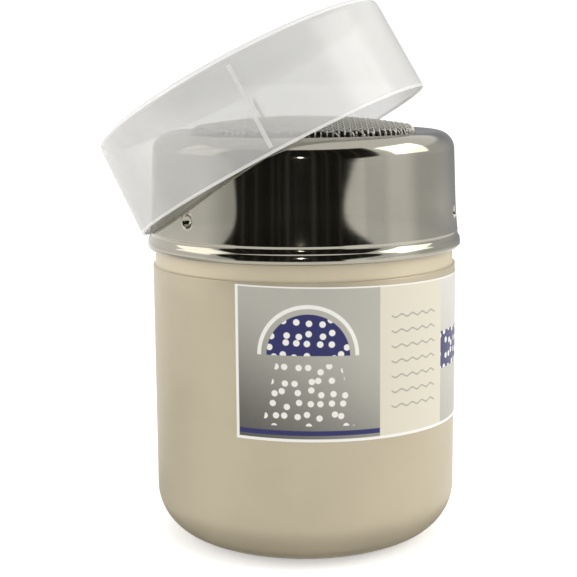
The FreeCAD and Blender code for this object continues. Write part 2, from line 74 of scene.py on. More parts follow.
# Half the width of a printed edge, in millimetres
PRINT_EDGE = 0.08


# Sizes

class ShakerCupSizes(bpy.types.PropertyGroup):
    """Sizes of the drawn cup."""

    radius: bpy.props.FloatProperty(
        name="Radius", description="Outer radius of the cup", unit="LENGTH",
        default=33.0 * MM)
    corner: bpy.props.FloatProperty(
        name="Bottom corner", description="Outer radius of the bottom corner", unit="LENGTH",
        default=10.8 * MM)
    sheet: bpy.props.FloatProperty(
        name="Sheet", description="Sheet thickness", unit="LENGTH", default=0.5 * MM)
    wall_top: bpy.props.FloatProperty(
        name="Wall top", description="Height at which the wall turns in", unit="LENGTH",
        default=59.8 * MM)
    band_step: bpy.props.FloatProperty(
        name="Band step", description="How far the band under the lid lies inside the wall",
        unit="LENGTH", default=0.55 * MM)
    band_slope: bpy.props.FloatProperty(
        name="Band slope", description="Height of the slope from the wall to that band",
        unit="LENGTH", default=0.6 * MM)
    band_end: bpy.props.FloatProperty(
        name="Band end", description="Height of the band's end above the wall's top",
        unit="LENGTH", default=3.8 * MM)
    # Painted light: the band under the lid is made lighter by this share, against the shade of
    # the lid's hem.
    band_painted_light_gain: bpy.props.FloatProperty(
        name="Band gain", description="How much lighter the band is than the wall", default=1.26)
    shoulder_height: bpy.props.FloatProperty(
        name="Shoulder height", description="Height of the turned-in shoulder", unit="LENGTH",
        default=2.8 * MM)
    shoulder_step: bpy.props.FloatProperty(
        name="Shoulder step", description="How far the neck lies inside the band",
        unit="LENGTH", default=1.15 * MM)
    lip_top: bpy.props.FloatProperty(
        name="Lip", description="Height of the cup's lip", unit="LENGTH", default=CUP_HIGH[2])
    ridge_height: bpy.props.FloatProperty(
        name="Ridge height", description="How far a thread ridge stands out", unit="LENGTH",
        default=0.8 * MM)
    ridge_width: bpy.props.FloatProperty(
        name="Ridge width", description="Width of a thread ridge", unit="LENGTH",
        default=2.2 * MM)
    ridge_start: bpy.props.FloatProperty(
        name="Ridge start", description="Height of a ridge's low end", unit="LENGTH",
        default=72.6 * MM)
    ridge_lead: bpy.props.FloatProperty(
        name="Thread lead", description="Climb of the thread in one turn", unit="LENGTH",
        default=18.0 * MM)
    ridge_angle: bpy.props.FloatProperty(
        name="First ridge", description="Direction of the first ridge's low end",
        unit="ROTATION", default=math.radians(190.6))
    ridge_sweep: bpy.props.FloatProperty(
        name="Ridge sweep", description="Angle that one ridge covers", unit="ROTATION",
        default=math.radians(88))
    thread_starts: bpy.props.IntProperty(
        name="Thread starts", description="Number of ridges", default=3, min=1)
    tint: bpy.props.FloatVectorProperty(
        name="Satin steel", description="Reflected colour of the satin cup", subtype="COLOR",
        size=3, default=(0.515, 0.453, 0.332))


class ShakerLidSizes(bpy.types.PropertyGroup):
    """Sizes of the twist-off lid and the ring inside it."""

    edge_level: bpy.props.FloatProperty(
        name="Edge level", description="Height of the lid's bottom edge", unit="LENGTH",
        default=63.5 * MM)
    bead_radius: bpy.props.FloatProperty(
        name="Bead radius", description="Outer radius of the bead", unit="LENGTH",
        default=34.1 * MM)
    hem: bpy.props.FloatProperty(
        name="Hem", description="Outer radius of the rolled bottom edge", unit="LENGTH",
        default=0.8 * MM)
    band: bpy.props.FloatProperty(
        name="Band", description="Height of the bead's straight band", unit="LENGTH",
        default=1.2 * MM)
    band_lean: bpy.props.FloatProperty(
        name="Band lean", description="How far the bead's band leans in", unit="LENGTH",
        default=0.1 * MM)
    flare: bpy.props.FloatProperty(
        name="Flare", description="Height of the hollow curve over the bead", unit="LENGTH",
        default=1.7 * MM)
    foot_flare: bpy.props.FloatProperty(
        name="Foot flare", description="How far the wall's foot runs out to the bead",
        unit="LENGTH", default=0.3 * MM)
    foot_height: bpy.props.FloatProperty(
        name="Foot height", description="Height of the wall's foot over the bead",
        unit="LENGTH", default=9.0 * MM)
    wall_radius: bpy.props.FloatProperty(
        name="Wall radius", description="Outer radius above the bead", unit="LENGTH",
        default=33.25 * MM)
    top_radius: bpy.props.FloatProperty(
        name="Top radius", description="Outer radius under the top corner", unit="LENGTH",
        default=32.65 * MM)
    top_level: bpy.props.FloatProperty(
        name="Top level", description="Height of the lid's top", unit="LENGTH",
        default=LID_HIGH[2])
    corner: bpy.props.FloatProperty(
        name="Corner", description="Outer radius of the top corner", unit="LENGTH",
        default=4.0 * MM)
    opening_radius: bpy.props.FloatProperty(
        name="Opening", description="Radius of the opening in the top", unit="LENGTH",
        default=24.3 * MM)
    top_dip: bpy.props.FloatProperty(
        name="Top dip", description="How far the top falls to its opening", unit="LENGTH",
        default=0.5 * MM)
    sheet: bpy.props.FloatProperty(
        name="Sheet", description="Sheet thickness", unit="LENGTH", default=0.5 * MM)
    lug_level: bpy.props.FloatProperty(
        name="Lug level", description="Height of the punched lugs", unit="LENGTH",
        default=71.3 * MM)
    lug_radius: bpy.props.FloatProperty(
        name="Lug radius", description="Radius of a lug's dent on the outside", unit="LENGTH",
        default=1.45 * MM)
    lug_depth: bpy.props.FloatProperty(
        name="Lug depth", description="Depth of a punched lug", unit="LENGTH",
        default=1.05 * MM)
    lug_angle: bpy.props.FloatProperty(
        name="First lug", description="Direction of the first lug", unit="ROTATION",
        default=math.radians(224.6))
    lugs: bpy.props.IntProperty(name="Lugs", description="Number of punched lugs", default=3)
    tint: bpy.props.FloatVectorProperty(
        name="Polished steel", description="Reflected colour of the polished lid",
        subtype="COLOR", size=3, default=(0.43, 0.41, 0.345))


class ShakerMeshSizes(bpy.types.PropertyGroup):
    """Sizes of the woven wire screen."""

    wire_radius: bpy.props.FloatProperty(
        name="Wire radius", description="Radius of one wire", unit="LENGTH",
        default=0.20 * MM)
    pitch: bpy.props.FloatProperty(
        name="Wire pitch", description="Spacing of the wires", unit="LENGTH",
        default=1.2 * MM)
    dome_radius: bpy.props.FloatProperty(
        name="Dome edge", description="Radius at which the screen turns down", unit="LENGTH",
        default=23.9 * MM)
    band_height: bpy.props.FloatProperty(
        name="Band height", description="Height of the screen's edge over the opening",
        unit="LENGTH", default=1.3 * MM)
    crown: bpy.props.FloatProperty(
        name="Crown", description="Height of the dome above its edge", unit="LENGTH",
        default=2.1 * MM)
    tint: bpy.props.FloatVectorProperty(
        name="Wire steel", description="Reflected colour of the wires", subtype="COLOR",
        size=3, default=(0.60, 0.59, 0.54))


class ShakerCapSizes(bpy.types.PropertyGroup):
    """Sizes of the dust cap and how it leans."""

    rim_radius: bpy.props.FloatProperty(
        name="Rim radius", description="Outer radius of the rim", unit="LENGTH",
        default=34.5 * MM)
    top_radius: bpy.props.FloatProperty(
        name="Top radius", description="Outer radius under the corner", unit="LENGTH",
        default=33.9 * MM)
    height: bpy.props.FloatProperty(
        name="Height", description="Height of the cap", unit="LENGTH", default=21.7 * MM)
    corner: bpy.props.FloatProperty(
        name="Corner", description="Outer radius of the corner", unit="LENGTH",
        default=1.8 * MM)
    wall: bpy.props.FloatProperty(
        name="Wall", description="Wall thickness", unit="LENGTH", default=0.7 * MM)
    rim_edge: bpy.props.FloatProperty(
        name="Rim edge", description="Height of the denser edge of the rim", unit="LENGTH",
        default=0.6 * MM)
    rib_start: bpy.props.FloatProperty(
        name="Rib start", description="Height of a rib's lower end", unit="LENGTH",
        default=1.2 * MM)
    rib_length: bpy.props.FloatProperty(
        name="Rib length", description="Length of a grip rib", unit="LENGTH",
        default=18.2 * MM)
    rib_width: bpy.props.FloatProperty(
        name="Rib width", description="Width of a grip rib", unit="LENGTH", default=0.9 * MM)
    rib_depth: bpy.props.FloatProperty(
        name="Rib depth", description="How far a rib's upper end stands in", unit="LENGTH",
        default=0.25 * MM)
    rib_angle: bpy.props.FloatProperty(
        name="First rib", description="Direction of the first rib", unit="ROTATION",
        default=math.radians(269.6))
    ribs: bpy.props.IntProperty(name="Ribs", description="Number of grip ribs", default=4)
    tilt: bpy.props.FloatProperty(
        name="Tilt", description="Tilt of the leaning cap", unit="ROTATION",
        default=math.radians(28.4))
    lean_angle: bpy.props.FloatProperty(
        name="Lean direction", description="Direction that the cap leans to",
        unit="ROTATION", default=math.radians(164.6))
    slip: bpy.props.FloatProperty(
        name="Slip", description="Sideways place of the rim's centre", unit="LENGTH",
        default=4.5535 * MM)
    level: bpy.props.FloatProperty(
        name="Level", description="Height of the rim's centre", unit="LENGTH",
        default=81.3992 * MM)
    tint: bpy.props.FloatVectorProperty(
        name="Milky plastic", description="Colour of the dust cap", subtype="COLOR", size=3,
        default=(0.81, 0.81, 0.795))
    # Denser plastic, also made lighter: partly a painted highlight for the bright lines of the
    # rim and ribs.
    dense_highlight_tint: bpy.props.FloatVectorProperty(
        name="Dense plastic", description="Colour of the rim and the ribs", subtype="COLOR",
        size=3, default=(0.93, 0.93, 0.91))


class ShakerLabelSizes(bpy.types.PropertyGroup):
    """Sizes and colours of the wrapped label."""

    gap: bpy.props.FloatProperty(
        name="Glue line", description="Gap under the label", unit="LENGTH", default=0.03 * MM)
    thickness: bpy.props.FloatProperty(
        name="Thickness", description="Label thickness", unit="LENGTH", default=0.11 * MM)
    bottom: bpy.props.FloatProperty(
        name="Bottom", description="Height of the bottom edge at the front", unit="LENGTH",
        default=LABEL_LOW[2])
    height: bpy.props.FloatProperty(
        name="Height", description="Label height", unit="LENGTH",
        default=LABEL_HIGH[2] - LABEL_LOW[2])
    start_angle: bpy.props.FloatProperty(
        name="Start", description="Direction of the left edge", unit="ROTATION",
        default=math.radians(245.4))
    sweep: bpy.props.FloatProperty(
        name="Sweep", description="Angle that the label covers", unit="ROTATION",
        default=math.radians(184))
    slant: bpy.props.FloatProperty(
        name="Slant", description="Fall of the label along its length, as a share",
        default=0.022)
    panel_end: bpy.props.FloatProperty(
        name="Panel end", description="Length of the grey panel", unit="LENGTH",
        default=29.9 * MM)
    pale_end: bpy.props.FloatProperty(
        name="Pale end", description="Where the pale panel ends", unit="LENGTH",
        default=48.4 * MM)
    border: bpy.props.FloatProperty(
        name="Border", description="Width of the white border", unit="LENGTH",
        default=0.6 * MM)
    navy: bpy.props.FloatVectorProperty(
        name="Navy", description="Colour of the motifs", subtype="COLOR", size=3,
        default=(0.014, 0.016, 0.115))
    pale: bpy.props.FloatVectorProperty(
        name="Cream", description="Colour of the pale panel", subtype="COLOR", size=3,
        default=(0.65, 0.612, 0.505))
    light_grey: bpy.props.FloatVectorProperty(
        name="Light grey", description="Light end of the grey panel", subtype="COLOR",
        size=3, default=(0.42, 0.41, 0.36))
    dark_grey: bpy.props.FloatVectorProperty(
        name="Dark grey", description="Dark end of the grey panel", subtype="COLOR", size=3,
        default=(0.075, 0.072, 0.060))


class ShakerStageSizes(bpy.types.PropertyGroup):
    """The camera's place, and the cards and lamps round the shaker."""

    camera_distance: bpy.props.FloatProperty(
        name="Camera distance", description="From the shaker's axis", unit="LENGTH",
        default=305.6 * MM)
    camera_height: bpy.props.FloatProperty(
        name="Camera height", description="Above the floor", unit="LENGTH",
        default=103.25 * MM)
    camera_pitch: bpy.props.FloatProperty(
        name="Camera pitch", description="How far the camera looks down", unit="ROTATION",
        default=math.radians(9.22))
    camera_yaw: bpy.props.FloatProperty(
        name="Camera yaw", description="How far the camera looks to the left",
        unit="ROTATION", default=math.radians(0.645))
    camera_roll: bpy.props.FloatProperty(
        name="Camera roll", description="Tilt of the picture", unit="ROTATION",
        default=math.radians(-0.49))
    card_distance: bpy.props.FloatProperty(
        name="Card distance", description="Radius of the dark card in front", unit="LENGTH",
        default=0.42)
    card_left: bpy.props.FloatProperty(
        name="Card left", description="Left end of the dark card, in degrees from the front",
        default=-78)
    card_right: bpy.props.FloatProperty(
        name="Card right", description="Right end of the dark card, in degrees from the front",
        default=58)
    card_top: bpy.props.FloatProperty(
        name="Card top", description="Height of the dark card", unit="LENGTH", default=0.58)
    card_bottom: bpy.props.FloatProperty(
        name="Card bottom", description="Lower edge of the dark card", unit="LENGTH",
        default=0.012)
    lamp_side: bpy.props.FloatProperty(
        name="Lamp side", description="Side of each soft lamp", unit="LENGTH", default=0.66)
    lamp_power: bpy.props.FloatProperty(
        name="Lamp power", description="Power of each side lamp", unit="POWER", default=4.2)


# Mesh tools

def arc_points(centre, radius, start, end, steps):
    """Points (across, up) along an arc, both ends in, with angles in radians."""
    points = []
    for index in range(steps + 1):
        angle = start + (end - start) * index / steps
        points.append((centre[0] + radius * math.cos(angle),
                       centre[1] + radius * math.sin(angle)))
    return points


def line_points(start, end, steps):
    """Points from start to end with the end left out."""
    points = []
    for index in range(steps):
        share = index / steps
        points.append((start[0] + (end[0] - start[0]) * share,
                       start[1] + (end[1] - start[1]) * share))
    return points


def even_angles(count):
    """Directions that share one turn evenly."""
    return [FULL_TURN * index / count for index in range(count)]


def fine_angles(count, centres, reach, step):
    """Even angles with closer ones within reach of each centre."""
    angles = set()
    for angle in even_angles(count):
        near = min(abs(math.remainder(angle - centre, FULL_TURN)) for centre in centres)
        if near > reach:
            angles.add(round(angle, 9))
    fine = int(reach / step)
    for centre in centres:
        for index in range(-fine, fine + 1):
            angles.add(round((centre + index * step) % FULL_TURN, 9))
    return sorted(angles)


def lathe(name, profile, angles, shape=None):
    """Turns a closed profile of (radius, height) about Z. shape may move each point."""
    mesh = bpy.data.meshes.new(name)
    builder = bmesh.new()
    rings = []
    on_axis = MM / 1000
    for radius, height in profile:
        if radius < on_axis:
            rings.append([builder.verts.new((0, 0, height))] * len(angles))
            continue
        ring = []
        for angle in angles:
            r, z = shape(radius, height, angle) if shape else (radius, height)
            ring.append(builder.verts.new((r * math.cos(angle), r * math.sin(angle), z)))
        rings.append(ring)
    count = len(angles)
    for low, high in zip(rings, rings[1:] + rings[:1]):
        for index in range(count):
            follower = (index + 1) % count
            corners = [low[index], low[follower], high[follower], high[index]]
            unique = list(dict.fromkeys(corners))
            if len(unique) > 2:
                builder.faces.new(unique)
    bmesh.ops.recalc_face_normals(builder, faces=builder.faces)
    finish_mesh(builder, mesh)
    return link_piece(name, mesh)


def finish_mesh(builder, mesh, crease=CREASE):
    """Smooth faces, with edges sharper than the crease kept crisp."""
    for face in builder.faces:
        face.smooth = True
    for edge in builder.edges:
        edge.smooth = len(edge.link_faces) == 2 and edge.calc_face_angle(0) < crease
    builder.to_mesh(mesh)
    builder.free()


def link_piece(name, mesh):
    """A mesh as a named object in the scene."""
    piece = bpy.data.objects.new(name, mesh)
    bpy.context.scene.collection.objects.link(piece)
    return piece


def add_tube(builder, points, radius, sides):
    """A round bar along points, with closed ends."""
    rings = []
    count = len(points)
    for index, point in enumerate(points):
        before = points[max(index - 1, 0)]
        after = points[min(index + 1, count - 1)]
        along = (after - before).normalized()
        side = along.cross(Vector((0, 0, 1)))
        if side.length < 0.1:
            side = along.cross(Vector((0, 1, 0)))
        side.normalize()
        up = side.cross(along)
        ring = []
        for corner in range(sides):
            turn = FULL_TURN * corner / sides
            offset = side * math.cos(turn) + up * math.sin(turn)
            ring.append(builder.verts.new(point + offset * radius))
        rings.append(ring)
    for low, high in zip(rings, rings[1:]):
        for corner in range(sides):
            follower = (corner + 1) % sides
            builder.faces.new((low[corner], low[follower], high[follower], high[corner]))
    builder.faces.new(list(reversed(rings[0])))
    builder.faces.new(rings[-1])


# Shader tools

class Desk:
    """Adds nodes to one material or world and links them."""

    def __init__(self, owner):
        self.owner = owner
        self.owner.use_nodes = True
        self.tree = self.owner.node_tree
        self.tree.nodes.clear()

    def add(self, kind, settings=None, inputs=None):
        node = self.tree.nodes.new(kind)
        for key, value in (settings or {}).items():
            setattr(node, key, value)
        for key, value in (inputs or {}).items():
            self.put(node, key, value)
        return node

    def put(self, node, key, value):
        """Links a socket's output, or sets a plain value or colour."""
        socket = node.inputs[key]
        if isinstance(value, bpy.types.NodeSocket):
            self.tree.links.new(value, socket)
        elif hasattr(socket.default_value, "__len__") and len(socket.default_value) == 4:
            socket.default_value = (*value[:3], 1.0)
        else:
            socket.default_value = value

    def calc(self, operation, a, b=0.0, c=0.0):
        node = self.add("ShaderNodeMath", {"operation": operation}, {0: a, 1: b, 2: c})
        return node.outputs[0]

    def times(self, a, b):
        return self.calc("MULTIPLY", a, b)

    def plus(self, a, b):
        return self.calc("ADD", a, b)

    def minus(self, a, b):
        return self.calc("SUBTRACT", a, b)

    def most(self, a, b):
        return self.calc("MAXIMUM", a, b)

    def size_of(self, a):
        return self.calc("ABSOLUTE", a)

    def step(self, value, low, high):
        """0 at low, 1 at high, smooth between."""
        node = self.add("ShaderNodeMapRange", {"interpolation_type": "SMOOTHSTEP"},
                        {"Value": value, "From Min": low, "From Max": high})
        return node.outputs["Result"]

    def above(self, value, limit, edge=PRINT_EDGE):
        return self.step(value, limit - edge, limit + edge)

    def below(self, value, limit, edge=PRINT_EDGE):
        return self.step(value, limit + edge, limit - edge)

    def scale(self, value, low, high):
        """Stretches the middle of a noise from low to high."""
        node = self.add("ShaderNodeMapRange", {}, {
            "Value": value, "From Min": 0.3, "From Max": 0.7, "To Min": low, "To Max": high})
        return node.outputs[0]

    def blend(self, factor, a, b):
        node = self.add("ShaderNodeMix", {"data_type": "RGBA"}, {0: factor, 6: a, 7: b})
        return node.outputs[2]

    def place(self):
        return self.add("ShaderNodeTexCoord").outputs["Object"]

    def noise(self, vector, scale, detail=3.0, stretch=(1, 1, 1)):
        mapping = self.add("ShaderNodeMapping", {}, {"Vector": vector, "Scale": stretch})
        node = self.add("ShaderNodeTexNoise", {}, {
            "Vector": mapping.outputs[0], "Scale": scale, "Detail": detail, "Roughness": 0.5})
        return node.outputs["Fac"]

    def bump(self, height, strength, distance, normal=None):
        inputs = {"Height": height, "Strength": strength, "Distance": distance}
        if normal is not None:
            inputs["Normal"] = normal
        return self.add("ShaderNodeBump", {}, inputs).outputs[0]

    def ray_kinds(self):
        """Whether a ray is the camera's or passes through, and whether it was reflected."""
        path = self.add("ShaderNodeLightPath")
        seen = self.most(path.outputs["Is Camera Ray"], path.outputs["Is Transmission Ray"])
        return seen, path.outputs["Is Glossy Ray"]

    def finish(self, shader, kind="ShaderNodeOutputMaterial"):
        output = self.add(kind)
        self.tree.links.new(shader, output.inputs["Surface"])
        return self.owner


def new_desk(name):
    """A desk for a new material."""
    return Desk(bpy.data.materials.new(name))


def steel(name, tint, low, high, lines, waviness, metal=1.0):
    """Steel whose roughness goes from low to high, with fine lines round the axis.

    A satin sheet scatters part of its light evenly, so its metal share is below 1.
    """
    desk = new_desk(name)
    place = desk.place()
    soft = desk.noise(place, scale=60.0)
    fine = desk.noise(place, scale=900.0, detail=2.0, stretch=(0.04, 0.04, 1.0))
    rough = desk.scale(desk.plus(desk.times(soft, 0.6), desk.times(fine, 0.4)), low, high)
    darker = [share * 0.94 for share in tint]
    shade = desk.blend(desk.step(soft, 0.3, 0.7), darker, tint)
    wave = desk.noise(place, scale=45.0, detail=1.0)
    normal = desk.bump(wave, strength=waviness, distance=0.0006)
    normal = desk.bump(fine, strength=lines, distance=0.00004, normal=normal)
    shader = desk.add("ShaderNodeBsdfPrincipled", {}, {
        "Base Color": shade, "Metallic": metal, "Roughness": rough,
        "Specular IOR Level": 0.3, "Normal": normal})
    return desk.finish(shader.outputs[0])


def milky_plastic(name, tint, thin, thick):
    """Translucent moulding, from thin where it is faced to thick where it is seen edge on."""
    desk = new_desk(name)
    place = desk.place()
    cloud = desk.noise(place, scale=35.0, detail=2.0, stretch=(1, 1, 0.4))
    rough = desk.scale(cloud, 0.18, 0.24)
    grain = desk.noise(place, scale=700.0, detail=2.0)
    normal = desk.bump(grain, strength=0.05, distance=0.00005)
    edge = desk.add("ShaderNodeLayerWeight", {}, {"Blend": 0.5, "Normal": normal})
    dense = desk.add("ShaderNodeMapRange", {}, {
        "Value": edge.outputs["Facing"], "From Min": 0.35, "From Max": 1.0,
        "To Min": thin, "To Max": thick})
    darker = [share * 0.96 for share in tint]
    shade = desk.blend(desk.step(cloud, 0.3, 0.7), darker, tint)
    shader = desk.add("ShaderNodeBsdfPrincipled", {}, {
        "Base Color": shade, "Metallic": 0.0, "Roughness": rough,
        "IOR": 1.49, "Specular IOR Level": 0.9, "Alpha": dense.outputs[0], "Normal": normal})
    return desk.finish(shader.outputs[0])


# Printed label, with its measures in millimetres along the strip and up it

DOT_WHITE = (0.80, 0.79, 0.74)
BORDER_WHITE = (0.82, 0.81, 0.77)
RULE_GREY = (0.20, 0.19, 0.20)
TAIL_GREY = (0.62, 0.61, 0.57)


def grey_ground(desk, look, along, up, grain):
    """Dark at the lower left, light at the top and to the right."""
    right_share = desk.calc("DIVIDE", along, look.panel_end / MM)
    up_share = desk.calc("DIVIDE", up, look.height / MM)
    light = desk.plus(desk.times(up_share, 0.95), desk.times(right_share, 0.50))
    light = desk.plus(light, desk.times(desk.minus(grain, 0.5), 0.08))
    return desk.blend(desk.step(light, -0.05, 1.05), look.dark_grey, look.light_grey)


def dome_with_dots(desk, look, ground, along, up, dot):
    """A half round under an arch, dots that fall from it, and a stripe below."""
    dome_radius = 8.4
    arch_inner = 9.5
    arch_outer = 10.3
    base = look.height / MM * 0.56
    across = desk.minus(along, look.panel_end / MM / 2)
    over = desk.minus(up, base)
    far = desk.calc("SQRT", desk.plus(desk.times(across, across), desk.times(over, over)))
    upper = desk.above(over, 0)
    dome = desk.times(desk.below(far, dome_radius), upper)
    arch = desk.times(desk.times(desk.below(far, arch_outer), desk.above(far, arch_inner)), upper)

    half_width = desk.plus(desk.times(over, -0.22), 6.2)
    column = desk.above(desk.minus(half_width, desk.size_of(across)), 0)
    reach = desk.times(desk.below(over, -1.65, 0.05), desk.above(up, 3.3, 0.1))
    falling = desk.times(desk.times(dot, column), reach)
    stripe = desk.times(desk.below(up, 2.3, 0.1), desk.above(up, 1.3, 0.1))

    colour = desk.blend(falling, ground, DOT_WHITE)
    colour = desk.blend(arch, colour, DOT_WHITE)
    colour = desk.blend(desk.most(dome, stripe), colour, look.navy)
    return desk.blend(desk.times(dot, dome), colour, DOT_WHITE)


def wavy_rules(desk, look, along, up):
    """Thin wavy rules on the pale panel."""
    pitch = 3.1
    half_length = 6.5
    lowest = 4.5
    highest = 26.9
    sway = desk.times(desk.calc("SINE", desk.times(along, 2.1)), 0.28)
    rows = desk.calc("FRACT", desk.calc("DIVIDE", desk.plus(up, sway), pitch))
    rule = desk.times(desk.step(rows, 0.16, 0.10), desk.step(rows, 0.0, 0.03))
    middle = (look.panel_end + look.pale_end) / MM / 2
    from_middle = desk.size_of(desk.minus(along, middle))
    rule = desk.times(rule, desk.below(from_middle, half_length, 0.1))
    rule = desk.times(rule, desk.times(desk.above(up, lowest, 0.1), desk.below(up, highest, 0.1)))
    return desk.blend(desk.times(rule, 0.6), look.pale, RULE_GREY)


def dotted_tail(desk, look, up, dot):
    """Light grey with a navy band of pale dots."""
    up_share = desk.calc("DIVIDE", up, look.height / MM)
    ground = desk.blend(up_share, look.light_grey, TAIL_GREY)
    band = desk.times(desk.above(up, 12.1, 0.1), desk.below(up, 20.1, 0.1))
    tail = desk.blend(band, ground, look.navy)
    return desk.blend(desk.times(band, dot), tail, DOT_WHITE)


def printed_label(name, look):
    """A printed strip: a grey panel with a dome and falling dots, a pale panel and a tail."""
    desk = new_desk(name)
    uv = desk.add("ShaderNodeUVMap", {"uv_map": "strip"}).outputs[0]
    split = desk.add("ShaderNodeSeparateXYZ", {}, {0: uv})
    along = split.outputs[0]
    up = split.outputs[1]
    border = look.border / MM
    grain = desk.noise(uv, scale=1.6)
    cells = desk.add("ShaderNodeTexVoronoi", {"voronoi_dimensions": "2D"},
                     {"Vector": uv, "Scale": 0.42, "Randomness": 0.55})
    dot = desk.below(cells.outputs["Distance"], 0.27, 0.03)

    ground = grey_ground(desk, look, along, up, grain)
    colour = dome_with_dots(desk, look, ground, along, up, dot)
    pale = wavy_rules(desk, look, along, up)
    colour = desk.blend(desk.above(along, look.panel_end / MM), colour, pale)
    tail = dotted_tail(desk, look, up, dot)
    colour = desk.blend(desk.above(along, look.pale_end / MM), colour, tail)

    rim = desk.most(desk.below(along, border), desk.below(up, border))
    rim = desk.most(rim, desk.above(up, look.height / MM - border / 2))
    colour = desk.blend(rim, colour, BORDER_WHITE)
    normal = desk.bump(desk.noise(uv, scale=0.7, detail=2.0), strength=0.10, distance=0.00006)
    shader = desk.add("ShaderNodeBsdfPrincipled", {}, {
        "Base Color": colour, "Roughness": desk.scale(grain, 0.30, 0.42),
        "Specular IOR Level": 0.45, "Normal": normal})
    return desk.finish(shader.outputs[0])


def dress(piece, material, slot, body, *nodes):
    """Gives a piece its material and body, and hides the nodes it stands for. Its slot is not
    used.
    """
    piece.data.materials.clear()
    piece.data.materials.append(material)
    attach(piece, body)
    if nodes:
        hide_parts(*nodes)


# Pieces

def ridge_height_at(cup, angle, height):
    """How far the rolled thread stands out at a direction and height."""
    tallest = 0.0
    half = cup.ridge_width / 2
    fade = math.radians(3)
    steepness = 1.9
    for index in range(cup.thread_starts):
        start = cup.ridge_angle + FULL_TURN * index / cup.thread_starts
        along = (angle - start) % FULL_TURN
        if along > cup.ridge_sweep:
            continue
        middle = cup.ridge_start + cup.ridge_lead * along / FULL_TURN
        off = abs(height - middle) / half
        if off >= 1:
            continue
        end = min(along, cup.ridge_sweep - along) / fade
        rise = min((1 - off) * steepness, 1.0)
        tallest = max(tallest, cup.ridge_height * rise * min(end, 1.0))
    return tallest


class SHAKER_OT_cup(bpy.types.Operator):
    """Build the drawn cup with its rolled thread"""

    bl_idname = "shaker.cup"
    bl_label = "Cup"

    def execute(self, context):
        cup = context.scene.shaker_cup
        piece = lathe("cup_dressed", self.profile(cup), even_angles(LARGE_STEPS),
                      shape=lambda r, z, angle: self.threaded(cup, r, z, angle))
        satin = steel("satin_steel_look", cup.tint, low=0.30, high=0.38, lines=0.10,
                      waviness=0.03, metal=0.32)
        dress(piece, satin, "satin_steel", "cup_body", "cup")
        # Painted light on the band under the lid, against the shade of the hem.
        self.paint_band_light(cup, piece)
        return {"FINISHED"}

    def paint_band_light(self, cup, piece):
        """Paints the outside of the band under the lid lighter and less metallic: painted light
        against the shade under the lid's hem.
        """
        light = [share * cup.band_painted_light_gain for share in cup.tint]
        piece.data.materials.append(steel("band_painted_light_look", light, low=0.32, high=0.40,
                                          lines=0.10, waviness=0.03, metal=0.12))
        margin = 0.2 * MM
        low = cup.wall_top + cup.band_slope / 2
        high = cup.wall_top + cup.band_end + MM
        for face in piece.data.polygons:
            centre = face.center
            outside = math.hypot(centre.x, centre.y) > cup.radius - cup.band_step - margin
            if low < centre.z < high and outside:
                face.material_index = 1

    def threaded(self, cup, radius, height, angle):
        neck_foot = cup.wall_top + cup.band_end + cup.shoulder_height
        if height < neck_foot + MM or radius < cup.radius / 2:
            return radius, height
        return radius + ridge_height_at(cup, angle, height), height

    def profile(self, cup):
        """The sheet's section, from the middle of the base out, up and back inside."""
        turn = 2 * math.atan(cup.shoulder_step / cup.shoulder_height)
        bend = cup.shoulder_height / (2 * math.sin(turn))
        recess_depth = 0.9 * MM
        recess_radius = 16.0 * MM
        recess_bend = 4.0 * MM
        foot = 18.4 * MM
        sheet = cup.sheet
        corner = cup.radius - cup.corner
        band = cup.radius - cup.band_step
        band_end = cup.wall_top + cup.band_end
        low_centre = (band - bend, band_end)
        neck = band - cup.shoulder_step
        neck_foot = band_end + cup.shoulder_height
        high_centre = (neck + bend, neck_foot)
        outer = [(0, recess_depth), (recess_radius * 0.6, recess_depth),
                 (recess_radius, recess_depth)]
        outer += arc_points((recess_radius, recess_depth - recess_bend), recess_bend,
                            math.pi / 2, math.radians(55), 5)[1:]
        outer += [(foot, 0)]
        outer += arc_points((corner, cup.corner), cup.corner, -math.pi / 2, 0, 28)
        outer += line_points((cup.radius, cup.corner), (cup.radius, cup.wall_top), 14)[1:]
        outer += self.step_points(cup, 0)
        outer += arc_points(low_centre, bend, 0, turn, 8)
        outer += arc_points(high_centre, bend, math.pi + turn, math.pi, 8)[1:]
        outer += line_points((neck, neck_foot), (neck, cup.lip_top - sheet / 2), 44)[1:]
        lip = arc_points((neck - sheet / 2, cup.lip_top - sheet / 2), sheet / 2, 0, math.pi, 8)
        inner = line_points((neck - sheet, cup.lip_top - sheet / 2),
                            (neck - sheet, neck_foot), 44)[1:]
        inner += arc_points(high_centre, bend + sheet, math.pi, math.pi + turn, 8)
        inner += arc_points(low_centre, bend - sheet, turn, 0, 8)[1:]
        inner += list(reversed(self.step_points(cup, sheet)))
        inner += [(cup.radius - sheet, cup.wall_top * 0.5)]
        inner += arc_points((corner, cup.corner), cup.corner - sheet, 0, -math.pi / 2, 24)
        inner += [(foot, sheet), (recess_radius, recess_depth + sheet), (0, recess_depth + sheet)]
        return outer + lip + inner

    def step_points(self, cup, inset):
        """The small soft step from the wall to the band under the lid."""
        points = []
        steps = 10
        for index in range(steps + 1):
            share = index / steps
            soft = share * share * (3 - 2 * share)
            points.append((cup.radius - inset - cup.band_step * soft,
                           cup.wall_top + cup.band_slope * share))
        return points


